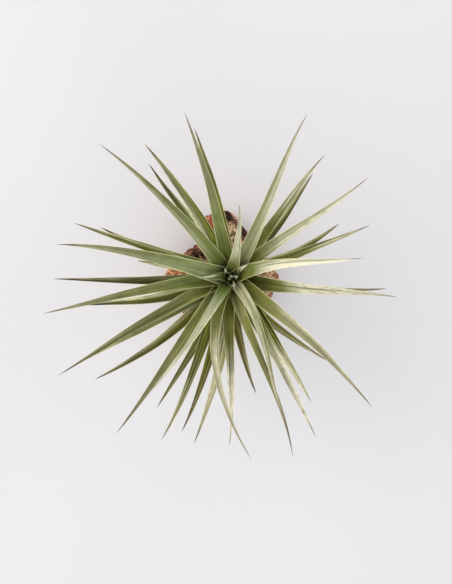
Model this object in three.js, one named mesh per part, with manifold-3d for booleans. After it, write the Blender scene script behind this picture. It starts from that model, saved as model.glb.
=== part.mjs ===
// Tillandsia aeranthos, an air plant, rooted on a lump of pitted red lava rock.
// Millimetres and degrees, +Z up. The origin is on the table, in the middle of the rock's flat underside.
// Directions round the plant are compass angles: 0 is +X, 90 is +Y.

import * as THREE from 'three';
import { mergeVertices } from 'three/addons/utils/BufferGeometryUtils.js';
import Module from 'manifold-3d';

// What two pieces that touch keep between them
const GAP = 0.3;

// Edges shorter than this are closed up after a join
const SLIVER = 0.03;

// The rock: a broken lump given by the flat faces that it broke along, rounded into each other.
// Each face is [compass direction, slope of its normal above level, distance from the rock's middle].
const ROCK_MIDDLE = 15.5;
const ROCK_FACES = [
  [0, 90, 18],
  [40, 52, 23],
  [190, 46, 24.5],
  [290, 50, 24.5],
  [-14, 4, 35],
  [36.5, 8, 19.5],
  [97, 4, 28],
  [146, 6, 22.5],
  [186, -4, 34.3],
  [232, 8, 31],
  [272, 0, 28],
  [318, 10, 30],
  [30, -40, 24],
  [150, -42, 24.5],
  [270, -42, 26],
];
const ROCK_EDGE_SHARPNESS = 14;
const SCOOP = { bearing: 146, halfWidth: 12, depth: 5 };
const ROCK_FINENESS = 10;
const PITS = 46;
const PIT_SMALLEST = 2.6;
const PIT_LARGEST = 5.2;

// Where the plant stands on the rock, and the shallow seat there
const STEM_FOOT = { x: 2.5, y: -4.5 };
const HEART = { x: 4, y: -8 };
const SEAT_RADIUS = 7.2;
const SEAT_FLOOR = 31.2;

// The root crown in the seat, with wiry roots that creep over the rock
const CROWN_RADIUS = 6.4;
const CROWN_TOP = 36.3;
const ROOT_THICKNESS = 1.1;
const ROOT_LIFT = 0.35;
const ROOT_STEPS = 9;
const ROOTS = [
  // [compass direction at the crown, how far it turns on the way, reach from the crown's middle]
  [28, -10, 15],
  [60, -12, 15.5],
  [108, 12, 17],
  [172, 34, 23],
  [218, -28, 20],
  [262, 30, 17],
  [318, -32, 19],
];

// The foot of the stem in its dry leaf bases, and the old leaves that have withered on it
const DRY_FOOT = CROWN_TOP + GAP;
const DRY_TOP = 45.5;
const DRY_RADIUS = 6.3;
const DRY_LEAVES = 15;

// The living stem
const STEM_BOTTOM = DRY_TOP + GAP;
const STEM_TOP = 72;
const STEM_RADIUS = 5.4;
const STEM_TIP_RADIUS = 2.4;

// How steeply a leaf rises where it leaves the stem and at its tip, and how early it narrows, from the
// oldest leaf to the youngest
const AGES = [0, 0.2, 0.4, 0.6, 0.8, 0.9, 1];
const RISE_AT_STEM = [20, 34, 46, 55, 64, 74, 87];
const RISE_AT_TIP = [-22, -10, 2, 12, 30, 52, 84];
const TAPER = [0.75, 0.75, 0.84, 0.92, 0.92, 0.92, 0.92];
const BEND = 1.6;

// A blade: thickness at its middle line and its margins, and how deep its channel is for its width
const BLADE_THICK = 1.3;
const MARGIN_THICK = 0.65;
const CHANNEL_AT_STEM = 0.16;
const CHANNEL_AT_TIP = 0.3;
const TIP_WIDTH = 0.8;
const ROLL_SPREAD = 9;
const DRY_TAPER = 0.92;
const BLADE_STEPS = 10;
const DRY_BLADE_STEPS = 6;
const FINE_STEPS = 12;

// Every living leaf: [age from 0 to 1, reach of the tip from the heart, its compass direction at the
// stem, half way out and at the tip, width of the blade near the stem]
const LEAVES = [
  // The rolled spear and the young leaves that stand round it
  [0.99, 1.2, 150, 150, 150, 3.4],
  [0.975, 2, 60, 70, 90, 4.2],
  [0.96, 4, 10, 18, 23, 4.6],
  [0.945, 5, -80, -70, -66, 4.8],
  [0.93, 6.4, 130, 124, 119, 5],
  [0.9, 11.4, 60, 48, 41, 5.4],
  [0.87, 17, 160, 174, 178, 6],
  [0.84, 37.1, 73.2, 78, 84, 7.9],
  // Half-grown leaves, narrow and folded
  [0.8, 65, 26.5, 13.5, 9, 8.8],
  [0.78, 67.3, -119.8, -122.5, -125.5, 6.7],
  [0.76, 73.2, -44, -63.6, -68.8, 6.3],
  // Full-grown leaves of the upper rosette
  [0.72, 86.3, 163.6, 164.9, 169, 10.4],
  [0.7, 87.9, 57.1, 64.5, 65.2, 9.3],
  [0.67, 91.8, 126.2, 130, 134.4, 8.9],
  [0.65, 85.1, 101.4, 102.9, 105.6, 8.8],
  [0.63, 84, 41, 36.7, 36.5, 8.8],
  [0.61, 93.8, -32.2, -37.6, -42.3, 9.5],
  [0.59, 90, -117.5, -98.8, -83.4, 7.4],
  [0.57, 94.9, -177, -172, -169.5, 8.9],
  [0.55, 93.6, -75, -69, -70.9, 6.5],
  [0.54, 83.1, -13.9, -7.4, -6.2, 9.4],
  [0.52, 98.6, -158, -153.2, -150.8, 8.2],
  [0.5, 95.9, -132, -127.5, -126.6, 8.8],
  [0.47, 89.6, -56, -59.8, -61.7, 8.8],
  [0.44, 90, -147, -150.6, -151, 9],
  [0.43, 84, -96.5, -90.6, -90.5, 8],
  [0.42, 89.8, -176, -178.9, -180.1, 7.9],
  // Older leaves, in the shade of the upper ones
  [0.4, 78.8, 48.4, 53.4, 52.9, 8],
  [0.38, 75.9, 17.5, 20, 21.2, 7.5],
  [0.37, 85.8, -91, -97.6, -102.7, 8.6],
  [0.36, 89.1, -116, -112.3, -113.4, 8.3],
  [0.34, 81.7, 116.2, 118.8, 122.5, 9.4],
  [0.33, 79.7, -11, -7.3, -3.4, 7.4],
  [0.31, 85, 157, 159.5, 160.2, 7.5],
  [0.3, 79.7, 95.8, 100.1, 103.6, 8],
  [0.29, 82, -102, -104.3, -107.9, 7.9],
  [0.28, 75, -51, -54.3, -56.8, 8.4],
  [0.27, 86.7, -134, -138.6, -143.7, 8.2],
  [0.25, 63, 15.5, 21.7, 27.3, 7.9],
  [0.24, 76.4, -110.3, -117.2, -119.9, 7.1],
  [0.22, 73.4, 119.4, 124.2, 125.3, 7.2],
  [0.21, 69.4, 41, 48.4, 52.3, 8.1],
  [0.2, 65, -57, -46.2, -40.1, 7],
  [0.18, 75.8, -154, -165, -169.9, 8.6],
  [0.17, 73.1, 155.5, 159, 158.1, 7.1],
  [0.16, 60.5, -85, -81.8, -77.5, 7.2],
  // The oldest and lowest, hidden from above
  [0.14, 46, 36, 37, 37, 7],
  [0.13, 52, -172, -173, -171, 7],
  [0.12, 48, 124, 127, 129, 7],
  [0.11, 46, -40, -38, -39, 7],
  [0.09, 46, -128, -125, -127, 7],
  [0.08, 43, 66, 62, 62, 6.8],
  [0.06, 45, -74, -72, -71, 6.8],
  [0.05, 50, 164, 167.5, 168.5, 7.6],
  [0.03, 42, -6, -7, -7, 6.6],
  [0.01, 40, 98, 102, 103, 6.6],
];

const wasm = await Module();
wasm.setup();

// Numbers that look random and are the same on every run
function seeded(seed) {
  let state = seed;
  return () => {
    state = (state * 1664525 + 1013904223) % 4294967296;
    return state / 4294967296;
  };
}

const radians = THREE.MathUtils.degToRad;
const mix = THREE.MathUtils.lerp;

function compass(angle, slope = 0) {
  const level = Math.cos(radians(slope));
  return new THREE.Vector3(
    level * Math.cos(radians(angle)),
    level * Math.sin(radians(angle)),
    Math.sin(radians(slope)),
  );
}

// The value at an age, between the values typed for the ages on either side
function atAge(values, age) {
  const next = Math.max(1, AGES.findIndex((a) => a >= age));
  const part = (age - AGES[next - 1]) / (AGES[next] - AGES[next - 1]);
  return mix(values[next - 1], values[next], part);
}

// Closed solids, joined and cut
function solidOf(geometry) {
  const bare = geometry.clone();
  bare.deleteAttribute('normal');
  bare.deleteAttribute('uv');
  const merged = mergeVertices(bare, 1e-4);
  return new wasm.Manifold(new wasm.Mesh({
    numProp: 3,
    vertProperties: new Float32Array(merged.attributes.position.array),
    triVerts: new Uint32Array(merged.index.array),
  }));
}

function joined(solids) {
  return solids.reduce((whole, next) => whole.add(next));
}

// Only the outer skin is kept: a pocket sealed between leaf bases is filled, a loose scrap dropped, and
// slivers finer than a hair are closed
function outerBody(solid) {
  const bodies = solid.simplify(SLIVER).decompose();
  return bodies.reduce((best, next) => (next.volume() > best.volume() ? next : best));
}

function meshOf(name, solid, look) {
  const { vertProperties, triVerts } = solid.getMesh();
  const geometry = new THREE.BufferGeometry();
  geometry.setAttribute('position', new THREE.BufferAttribute(vertProperties, 3));
  geometry.setIndex(new THREE.BufferAttribute(triVerts, 1));
  geometry.computeVertexNormals();
  const mesh = new THREE.Mesh(geometry, new THREE.MeshStandardMaterial({ metalness: 0, ...look }));
  mesh.name = name;
  return mesh;
}

// The rock's skin without its pits, as a distance from the rock's middle along a direction.
// The flat faces are blended by a power mean, slow waves roughen them, and a shallow upright scoop
// hollows one side.
const rockNormals = ROCK_FACES.map(([angle, slope, distance]) => (
  compass(angle, slope).divideScalar(distance)
));

function rockSkin(direction) {
  const sum = rockNormals.reduce((total, normal) => {
    const nearness = Math.max(0, direction.dot(normal));
    return total + nearness ** ROCK_EDGE_SHARPNESS;
  }, 0);
  const radius = sum ** (-1 / ROCK_EDGE_SHARPNESS);
  const { x, y, z } = direction.clone().multiplyScalar(radius);
  const waves = Math.sin(x / 3.9 + 1.1) * Math.sin(y / 4.3 + 0.6) + Math.sin(z / 3.1 + x / 7.3);
  const along = direction.dot(compass(SCOOP.bearing));
  const aside = radius * direction.dot(compass(SCOOP.bearing + 90));
  const hollow = Math.max(0, 1 - (aside / SCOOP.halfWidth) ** 2) * Math.max(0, along);
  return radius + 0.55 * waves - SCOOP.depth * hollow;
}

// Gas pits, spread evenly over the rock by a turning angle, each of its own size
function rockPits() {
  const random = seeded(11);
  return Array.from({ length: PITS }, (_, index) => {
    const height = 1 - (1.55 * (index + 0.5)) / PITS;
    const slope = THREE.MathUtils.radToDeg(Math.asin(height));
    return {
      direction: compass(index * 137.5 + 14 * random(), slope),
      radius: mix(PIT_SMALLEST, PIT_LARGEST, random() ** 2),
    };
  });
}

function buildRock() {
  const pits = rockPits();
  const geometry = new THREE.IcosahedronGeometry(1, ROCK_FINENESS);
  const points = geometry.attributes.position;
  const direction = new THREE.Vector3();
  for (let i = 0; i < points.count; i += 1) {
    direction.fromBufferAttribute(points, i).normalize();
    const skin = rockSkin(direction);
    const depth = pits.reduce((deepest, pit) => {
      const off = (skin * direction.angleTo(pit.direction)) / pit.radius;
      return Math.max(deepest, off < 1 ? 0.62 * pit.radius * (1 - off * off) : 0);
    }, 0);
    const place = direction.multiplyScalar(skin - depth);
    points.setXYZ(i, place.x, place.y, Math.max(0, place.z + ROCK_MIDDLE));
  }
  const seat = new THREE.CylinderGeometry(SEAT_RADIUS, SEAT_RADIUS, 20, 24);
  seat.rotateX(Math.PI / 2);
  seat.translate(STEM_FOOT.x, STEM_FOOT.y, SEAT_FLOOR + 10);
  const rock = outerBody(solidOf(geometry).subtract(solidOf(seat)));
  return meshOf('lava_rock', rock, { color: 0x8a5f47, roughness: 0.95 });
}

// The direction from the rock's middle in which its skin lies over a point of the table
function directionOver(x, y) {
  const level = Math.hypot(x, y);
  const direction = new THREE.Vector3();
  let low = 0;
  let high = Math.PI / 2;
  for (let step = 0; step < 30; step += 1) {
    const slope = (low + high) / 2;
    direction.set((Math.cos(slope) * x) / level, (Math.cos(slope) * y) / level, Math.sin(slope));
    const outside = rockSkin(direction) * Math.cos(slope) > level;
    low = outside ? slope : low;
    high = outside ? high : slope;
  }
  return direction;
}

// A root creeps outwards from the crown, just clear of the rock's skin
function rootPath([angle, turn, reach]) {
  const clear = GAP + ROOT_LIFT + ROOT_THICKNESS / 2;
  const path = [];
  for (let step = 0; step <= ROOT_STEPS; step += 1) {
    const part = step / ROOT_STEPS;
    const spread = compass(angle + turn * part * part).multiplyScalar(mix(3, reach, part));
    const direction = directionOver(STEM_FOOT.x + spread.x, STEM_FOOT.y + spread.y);
    const place = direction.clone().multiplyScalar(rockSkin(direction) + clear);
    path.push(place.setZ(place.z + ROCK_MIDDLE));
  }
  return new THREE.CatmullRomCurve3(path);
}

function buildRoots() {
  const round = new THREE.Shape();
  round.absarc(0, 0, ROOT_THICKNESS / 2, 0, 2 * Math.PI);
  const crown = new THREE.LatheGeometry([
    new THREE.Vector2(0, 0),
    new THREE.Vector2(CROWN_RADIUS * 0.9, 0),
    new THREE.Vector2(CROWN_RADIUS, 1.2),
    new THREE.Vector2(CROWN_RADIUS * 0.86, CROWN_TOP - SEAT_FLOOR - GAP - 0.6),
    new THREE.Vector2(CROWN_RADIUS * 0.6, CROWN_TOP - SEAT_FLOOR - GAP),
    new THREE.Vector2(0, CROWN_TOP - SEAT_FLOOR - GAP),
  ], 20);
  crown.rotateX(Math.PI / 2);
  crown.translate(STEM_FOOT.x, STEM_FOOT.y, SEAT_FLOOR + GAP);
  const roots = ROOTS.map((root) => new THREE.ExtrudeGeometry(round, {
    steps: ROOT_STEPS,
    curveSegments: 3,
    bevelEnabled: false,
    extrudePath: rootPath(root),
  }));
  const whole = outerBody(joined([crown, ...roots].map(solidOf)));
  return meshOf('root_crown', whole, { color: 0x5b4632, roughness: 0.85 });
}

// The stem leans a little on its way from the rock to the heart
function stemAt(height) {
  const part = (height - DRY_FOOT) / (STEM_TOP - DRY_FOOT);
  return new THREE.Vector3(mix(STEM_FOOT.x, HEART.x, part), mix(STEM_FOOT.y, HEART.y, part), height);
}

// A length of stem, turned from its profile [radius, height] and then leaned
function stemSolid(profile) {
  const outline = profile.map(([radius, height]) => new THREE.Vector2(radius, height));
  const geometry = new THREE.LatheGeometry(outline, 16);
  geometry.rotateX(Math.PI / 2);
  const points = geometry.attributes.position;
  for (let i = 0; i < points.count; i += 1) {
    const middle = stemAt(points.getZ(i));
    points.setXYZ(i, points.getX(i) + middle.x, points.getY(i) + middle.y, points.getZ(i));
  }
  return solidOf(geometry);
}

// The middle line of a blade. It rises at an angle that falls from the stem to the tip, and its compass
// direction passes through the three that are given for the stem, half way out and the tip.
function bladeLine(blade) {
  const { rootRadius, reach, atStem, atTip, bearings, root } = blade;
  const count = blade.steps * FINE_STEPS;
  const out = [0];
  const up = [0];
  for (let i = 0; i < count; i += 1) {
    const left = 1 - (i + 0.5) / count;
    const rise = radians(mix(atTip, atStem, left ** BEND));
    out.push(out[i] + Math.cos(rise) / count);
    up.push(up[i] + Math.sin(rise) / count);
  }
  const length = (reach - rootRadius) / out[count];
  return out.map((distance, i) => {
    const part = distance / out[count];
    const bearing = bearings[0] * (2 * part - 1) * (part - 1)
      + 4 * bearings[1] * part * (1 - part)
      + bearings[2] * part * (2 * part - 1);
    const fade = (1 - part) ** 2;
    const place = compass(bearing).multiplyScalar(rootRadius + length * distance);
    place.x += mix(HEART.x, root.x, fade);
    place.y += mix(HEART.y, root.y, fade);
    place.z = root.z + length * up[i];
    return place;
  });
}

// A blade is a closed channelled strip with a pointed end: three points across on its upper face, the
// same three on its lower face, and both faces split into triangles the same way.
function bladeSolid(blade) {
  const line = bladeLine(blade);
  const places = [];
  for (let step = 0; step <= blade.steps; step += 1) {
    const part = step / blade.steps;
    const here = step * FINE_STEPS;
    const ahead = line[Math.min(here + 1, line.length - 1)];
    const behind = line[Math.max(here - 1, 0)];
    const forward = ahead.clone().sub(behind).normalize();
    const side = new THREE.Vector3(-forward.y, forward.x, 0).normalize();
    side.applyAxisAngle(forward, radians(blade.roll));
    const above = forward.clone().cross(side);
    const half = Math.max(TIP_WIDTH, blade.width * (1 - part) ** blade.taper) / 2;
    const depth = 2 * half * mix(CHANNEL_AT_STEM, CHANNEL_AT_TIP, part);
    const thick = mix(BLADE_THICK, MARGIN_THICK, part);
    const low = depth - MARGIN_THICK;
    const section = [[1, depth], [0, 0], [-1, depth], [1, low], [0, -thick], [-1, low]];
    section.forEach(([across, raised]) => {
      const place = line[here].clone().addScaledVector(side, across * half).addScaledVector(above, raised);
      places.push(place.x, place.y, place.z);
    });
  }
  const [topLeft, topMiddle, topRight, lowLeft, lowMiddle, lowRight] = [0, 1, 2, 3, 4, 5];
  const faces = [];
  const last = blade.steps * 6;
  const strip = (left, right, turned) => {
    for (let base = 0; base < last; base += 6) {
      const [a, b, c, d] = [base + left, base + right, base + 6 + right, base + 6 + left];
      faces.push(...(turned ? [a, c, b, a, d, c] : [a, b, c, a, c, d]));
    }
  };
  strip(topLeft, topMiddle, false);
  strip(topMiddle, topRight, false);
  strip(lowLeft, lowMiddle, true);
  strip(lowMiddle, lowRight, true);
  strip(lowLeft, topLeft, false);
  strip(topRight, lowRight, false);
  const ends = [[topLeft, topMiddle, lowMiddle, lowLeft], [topMiddle, topRight, lowRight, lowMiddle]];
  for (const [a, b, c, d] of ends) {
    faces.push(a, c, b, a, d, c);
    faces.push(last + a, last + b, last + c, last + a, last + c, last + d);
  }
  const geometry = new THREE.BufferGeometry();
  geometry.setAttribute('position', new THREE.Float32BufferAttribute(places, 3));
  geometry.setIndex(faces);
  return solidOf(geometry);
}

function buildRosette() {
  const random = seeded(7);
  const stem = stemSolid([
    [0, STEM_BOTTOM],
    [STEM_RADIUS, STEM_BOTTOM],
    [STEM_RADIUS * 0.85, mix(STEM_BOTTOM, STEM_TOP, 0.6)],
    [STEM_TIP_RADIUS, STEM_TOP - 1.5],
    [0, STEM_TOP],
  ]);
  const blades = LEAVES.map(([age, reach, ...rest]) => {
    const root = stemAt(mix(STEM_BOTTOM + 2, STEM_TOP - 2, age));
    return bladeSolid({
      steps: BLADE_STEPS,
      root,
      rootRadius: Math.min(1.5, reach / 3),
      reach,
      bearings: rest.slice(0, 3),
      atStem: atAge(RISE_AT_STEM, age),
      atTip: atAge(RISE_AT_TIP, age),
      taper: atAge(TAPER, age),
      width: rest[3],
      roll: ROLL_SPREAD * (2 * random() - 1),
    });
  });
  return meshOf('leaf_rosette', outerBody(joined([stem, ...blades])), { color: 0x7e8055, roughness: 0.7 });
}

// The dry foot of the stem, with withered leaves that curl down round it
function buildDryFoot() {
  const random = seeded(23);
  const foot = stemSolid([
    [0, DRY_FOOT],
    [DRY_RADIUS * 0.8, DRY_FOOT],
    [DRY_RADIUS, DRY_FOOT + 2.5],
    [DRY_RADIUS * 0.9, DRY_TOP - 1],
    [DRY_RADIUS * 0.7, DRY_TOP],
    [0, DRY_TOP],
  ]);
  const blades = Array.from({ length: DRY_LEAVES }, (_, index) => {
    const bearing = index * 137.5 + 20 * random();
    const turn = 50 * (random() - 0.5);
    const high = index / DRY_LEAVES;
    return bladeSolid({
      steps: DRY_BLADE_STEPS,
      root: stemAt(mix(DRY_FOOT + 3.2, DRY_TOP - 2.4, high)),
      rootRadius: 2,
      reach: mix(13, 25, random()),
      bearings: [bearing, bearing + turn / 3, bearing + turn],
      atStem: mix(8, 38, high),
      atTip: mix(-16, -48, high),
      taper: DRY_TAPER,
      width: mix(5, 7, random()),
      roll: 30 * (random() - 0.5),
    });
  });
  return meshOf('dry_foot', outerBody(joined([foot, ...blades])), { color: 0xa58a63, roughness: 0.9 });
}

const plant = new THREE.Group();
plant.add(buildRosette(), buildDryFoot(), buildRoots());

const part = new THREE.Group();
part.add(buildRock(), plant);

export default part;
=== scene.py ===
"""A tillandsia aeranthos, an air plant, rooted on a lump of pitted red lava rock.

The classes hold their sizes in millimetres and degrees, as the plant is measured, and every mesh is turned
to metres where it is made. The origin is on the table under the rock, +Z is up, and +X and +Y are the right
and the top of the picture, which looks straight down. Compass bearings are 0 along +X and 90 along +Y.
Every solid is a skin of rings: each ring is a closed row of points, and the first and last ring are closed
with a point of their own.
"""

import itertools
import logging
from dataclasses import dataclass, field
from enum import Enum

import bpy
import numpy as np
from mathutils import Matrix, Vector


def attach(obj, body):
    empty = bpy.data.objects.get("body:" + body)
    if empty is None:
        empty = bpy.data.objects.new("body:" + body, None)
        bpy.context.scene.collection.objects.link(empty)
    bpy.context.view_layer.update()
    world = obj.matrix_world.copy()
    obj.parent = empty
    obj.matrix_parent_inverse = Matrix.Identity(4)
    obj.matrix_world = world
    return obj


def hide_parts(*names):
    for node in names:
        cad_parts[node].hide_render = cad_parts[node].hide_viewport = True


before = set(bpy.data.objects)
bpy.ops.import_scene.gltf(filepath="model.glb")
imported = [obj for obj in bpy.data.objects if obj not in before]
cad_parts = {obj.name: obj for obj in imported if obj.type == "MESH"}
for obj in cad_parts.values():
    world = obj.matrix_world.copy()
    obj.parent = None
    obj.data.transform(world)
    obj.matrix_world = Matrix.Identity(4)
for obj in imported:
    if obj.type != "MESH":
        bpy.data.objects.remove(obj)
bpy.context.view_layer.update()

LOG = logging.getLogger("air_plant")
METRES = 0.001
BODY = "root"

HEART = np.array([4.0, -8.0])
STEM_FOOT = np.array([2.5, -4.5])
DRY_BOTTOM, DRY_TOP = 36.6, 45.5
STEM_BOTTOM, STEM_TOP = 45.8, 72.0
GOLDEN_TURN = 137.5
TABLE_LEAF_SEED, DRY_LEAF_SEED, ROOT_SEED = 3, 90, 40

# Large odd numbers that stir the corners of the noise, and the largest key they give
HASH_X, HASH_Y, HASH_Z, HASH_SEED, HASH_MIX = 73856093, 19349663, 83492791, 2654435761, 1274126177
LARGEST_KEY = 2**31 - 1

Pair = tuple[float, float]
Triple = tuple[float, float, float]

# What changes along a length: part of the way from 0 to 1, and the value there
Profile = tuple[Pair, ...]


class Attribute(Enum):
    """Names of the point attributes that materials read."""

    GRAIN = "grain"
    PLACE = "place"
    TONE = "tone"


class Seeded:
    """A small generator whose numbers look random and are the same on every run."""

    FACTOR, SHIFT, SPAN = 1664525, 1013904223, 2**32

    def __init__(self, seed: int) -> None:
        """Starts from a seed."""
        self.state = seed

    def next(self) -> float:
        """The next number from 0 to 1."""
        self.state = (self.state * self.FACTOR + self.SHIFT) % self.SPAN
        return self.state / self.SPAN

    def between(self, low: float, high: float) -> float:
        """The next number from low to high."""
        return low + (high - low) * self.next()


def compass(bearing: np.ndarray | float, slope: np.ndarray | float = 0.0) -> np.ndarray:
    """A unit direction.

    Args:
        bearing: degrees round from +X towards +Y.
        slope: degrees above level.

    Returns:
        cos(slope) times (cos, sin) of the bearing, then sin(slope), as an array of points.
    """
    turn, rise = np.radians(bearing), np.radians(slope)
    level = np.cos(rise)
    return np.stack(np.broadcast_arrays(level * np.cos(turn), level * np.sin(turn), np.sin(rise)), -1)


def unit(vectors: np.ndarray) -> np.ndarray:
    """The vectors, each divided by its length."""
    return vectors / np.maximum(np.linalg.norm(vectors, axis=-1, keepdims=True), 1e-9)


def mix(low: np.ndarray | float, high: np.ndarray | float, part: np.ndarray | float) -> np.ndarray | float:
    """The value that lies a part of the way from low to high."""
    return low + (high - low) * part


def around(count: int) -> np.ndarray:
    """Even bearings round a circle, in degrees."""
    return np.linspace(0, 360, count, endpoint=False)


def circles(middle: np.ndarray, radius: np.ndarray) -> np.ndarray:
    """Level circles about a middle line.

    Args:
        middle: the middle of each circle.
        radius: an array of circles x points round.

    Returns:
        Rings, whose points are the middle plus the radius times (cos, sin) of even bearings.
    """
    return middle[:, None] + compass(around(radius.shape[1]))[None] * radius[..., None]


def follow(profile: Profile, part: np.ndarray) -> np.ndarray:
    """The value of a profile at each part of the way, with straight lines between its points."""
    return np.interp(part, *zip(*profile, strict=True))


def value_noise(points: np.ndarray, seed: int) -> np.ndarray:
    """Smooth noise in space.

    Every corner of the unit cubes round a point has a hashed number from -1 to 1, and the eight of them are
    blended with the weight 3p^2 - 2p^3 of the point's place p between them along each axis.

    Args:
        points: places, in units of the noise's cell.
        seed: another seed gives another pattern.

    Returns:
        One number for each point.
    """
    cell = np.floor(points).astype(np.int64)
    part = points - cell
    part = part * part * (3 - 2 * part)
    total = np.zeros(points.shape[:-1])
    for corner in itertools.product((0, 1), repeat=3):
        x, y, z = np.moveaxis(cell + np.array(corner), -1, 0)
        key = (x * HASH_X) ^ (y * HASH_Y) ^ (z * HASH_Z) ^ (seed * HASH_SEED)
        key = ((key ^ (key >> 13)) * HASH_MIX) & LARGEST_KEY
        weight = np.prod(np.where(np.array(corner) == 1, part, 1 - part), axis=-1)
        total += weight * (2 * key / LARGEST_KEY - 1)
    return total


def wander(along: np.ndarray, seed: int) -> np.ndarray:
    """Smooth noise along a line: one number from -1 to 1 for each place, with a cell of length 1."""
    return value_noise(np.stack([along, along * 0 + 0.4, along * 0 + 0.7], -1), seed)


@dataclass
class Skin:
    """Closed skins gathered for one mesh: points in millimetres, faces and point attributes."""

    points: list[np.ndarray] = field(default_factory=list)
    faces: list[tuple[int, ...]] = field(default_factory=list)
    values: dict[Attribute, list[np.ndarray]] = field(default_factory=dict)
    count: int = 0

    def add(self, rings: np.ndarray, values: dict[Attribute, np.ndarray]) -> None:
        """Adds one closed skin.

        Quads join each ring to the next, and a fan of triangles joins the first and the last ring to a
        point at their middle.

        Args:
            rings: an array of rings x points round x 3, seen anticlockwise from the end of the rings.
            values: for each attribute, an array of rings x points round x 3.
        """
        rows, round_count = rings.shape[:2]
        index = self.count + np.arange(rows * round_count).reshape(rows, round_count)
        ahead = np.roll(index, -1, axis=1)
        quads = np.stack([index[:-1], ahead[:-1], ahead[1:], index[1:]], -1).reshape(-1, 4)
        start, end = self.count + rows * round_count, self.count + rows * round_count + 1
        first = np.stack([np.full(round_count, start), ahead[0], index[0]], -1)
        last = np.stack([np.full(round_count, end), index[-1], ahead[-1]], -1)
        self.points.append(np.concatenate([rings.reshape(-1, 3), rings[[0, -1]].mean(axis=1)]))
        for group in (quads, first, last):
            self.faces.extend(map(tuple, group.tolist()))
        for name, value in values.items():
            packed = np.concatenate([value.reshape(-1, 3), value[[0, -1]].mean(axis=1)])
            self.values.setdefault(name, []).append(packed)
        self.count = end + 1

    def make(self, name: str, material: bpy.types.Material) -> bpy.types.Object:
        """Makes the mesh, smooth, in metres, with its attributes.

        Args:
            name: the piece's name.
            material: its material.

        Returns:
            The new object, linked to the scene.
        """
        mesh = bpy.data.meshes.new(name)
        mesh.from_pydata((np.concatenate(self.points) * METRES).tolist(), [], self.faces)
        for attribute, parts in self.values.items():
            layer = mesh.attributes.new(attribute.value, "FLOAT_VECTOR", "POINT")
            layer.data.foreach_set("vector", np.concatenate(parts).astype(np.float32).ravel())
        mesh.polygons.foreach_set("use_smooth", np.ones(len(mesh.polygons), bool))
        mesh.materials.append(material)
        mesh.update()
        piece = bpy.data.objects.new(name, mesh)
        bpy.context.scene.collection.objects.link(piece)
        return piece


# The rings of a skin and the attributes of their points
Rings = tuple[np.ndarray, dict[Attribute, np.ndarray]]


def settle(piece: bpy.types.Object, node: str) -> None:
    """Rides a piece on the part's one body in place of a CAD node, and reports it.

    Args:
        piece: the finished object.
        node: the CAD node that it stands for.
    """
    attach(piece, BODY)
    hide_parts(node)
    LOG.info("%s: %d faces, stands for %s", piece.name, len(piece.data.polygons), node)


def linear(colour: str) -> tuple[float, float, float, float]:
    """An sRGB hex colour as linear red, green, blue and alpha 1."""
    parts = (int(colour[i : i + 2], 16) / 255 for i in (1, 3, 5))
    return (*((p / 12.92 if p <= 0.04045 else ((p + 0.055) / 1.055) ** 2.4) for p in parts), 1.0)


Tree = bpy.types.NodeTree
Socket = bpy.types.NodeSocket
Value = Socket | float | tuple | str

# The stops of a colour ramp: place from 0 to 1 and hex colour
Ramp = tuple[tuple[float, str], ...]

# What a measure does to a finish: the measure's own low and high value, and what they are turned into
Span = tuple[float, float, float, float]


def add(
    tree: Tree,
    kind: str,
    inputs: tuple[Value, ...] | dict[int | str, Value] = (),
    out: int | str = 0,
    ramp: Ramp = (),
    **settings: object,
) -> Socket:
    """Adds one node.

    Args:
        tree: the material's node tree.
        kind: the node's type, without the leading ShaderNode.
        inputs: a socket to link, a value to set or a hex colour for each input, in their order or by name.
        out: the output that is handed back.
        ramp: the stops of a colour ramp.
        settings: the node's own properties.

    Returns:
        The node's output.
    """
    node = tree.nodes.new("ShaderNode" + kind)
    for name, value in settings.items():
        setattr(node, name, value)
    for key, value in (inputs if isinstance(inputs, dict) else dict(enumerate(inputs))).items():
        if isinstance(value, Socket):
            tree.links.new(value, node.inputs[key])
        else:
            node.inputs[key].default_value = linear(value) if isinstance(value, str) else value
    if ramp:
        stops = node.color_ramp.elements
        stops[0].position, stops[1].position = ramp[0][0], ramp[-1][0]
        for place, _ in ramp[1:-1]:
            stops.new(place)
        for stop, (_, colour) in zip(stops, ramp, strict=True):
            stop.color = linear(colour)
    return node.outputs[out]


def grade(tree: Tree, value: Value, steps: tuple[tuple[Socket, Span], ...]) -> Value:
    """Multiplies a value by what each span makes of its measure.

    Args:
        tree: the material's node tree.
        value: what to start from.
        steps: the measures, each with its span.

    Returns:
        The product.
    """
    for measure, span in steps:
        gain = add(tree, "MapRange", (measure, *span))
        value = add(tree, "Math", (value, gain), operation="MULTIPLY")
    return value


@dataclass(frozen=True)
class Finish:
    """What every finish has: its name, the span of its roughness, its bump in millimetres, and its shine."""

    name: str
    roughness: Span
    bump: float
    bump_depth: float = 0.2
    shine: float = 0.5

    def make(self) -> bpy.types.Material:
        """Makes the material and paints it.

        Returns:
            The material.
        """
        material = bpy.data.materials.new(self.name)
        material.use_nodes = True
        material.node_tree.nodes.clear()
        self.paint(material.node_tree)
        return material

    def paint(self, tree: Tree) -> None:
        """Fills the node tree, which each finish does in its own way."""
        raise NotImplementedError

    def close(self, tree: Tree, colour: Socket, worn: Socket, height: Socket) -> None:
        """Ends a material in a Principled surface.

        Args:
            tree: the material's node tree.
            colour: base colour.
            worn: the pattern that the roughness follows.
            height: the pattern that the bump follows.
        """
        bump = {"Height": height, "Strength": self.bump, "Distance": self.bump_depth * METRES}
        surface = {
            "Base Color": colour,
            "Roughness": add(tree, "MapRange", (worn, *self.roughness)),
            "Normal": add(tree, "Bump", bump),
            "Specular IOR Level": self.shine,
        }
        shader = add(tree, "BsdfPrincipled", surface)
        output = tree.nodes.new("ShaderNodeOutputMaterial")
        tree.links.new(shader, output.inputs["Surface"])


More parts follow.
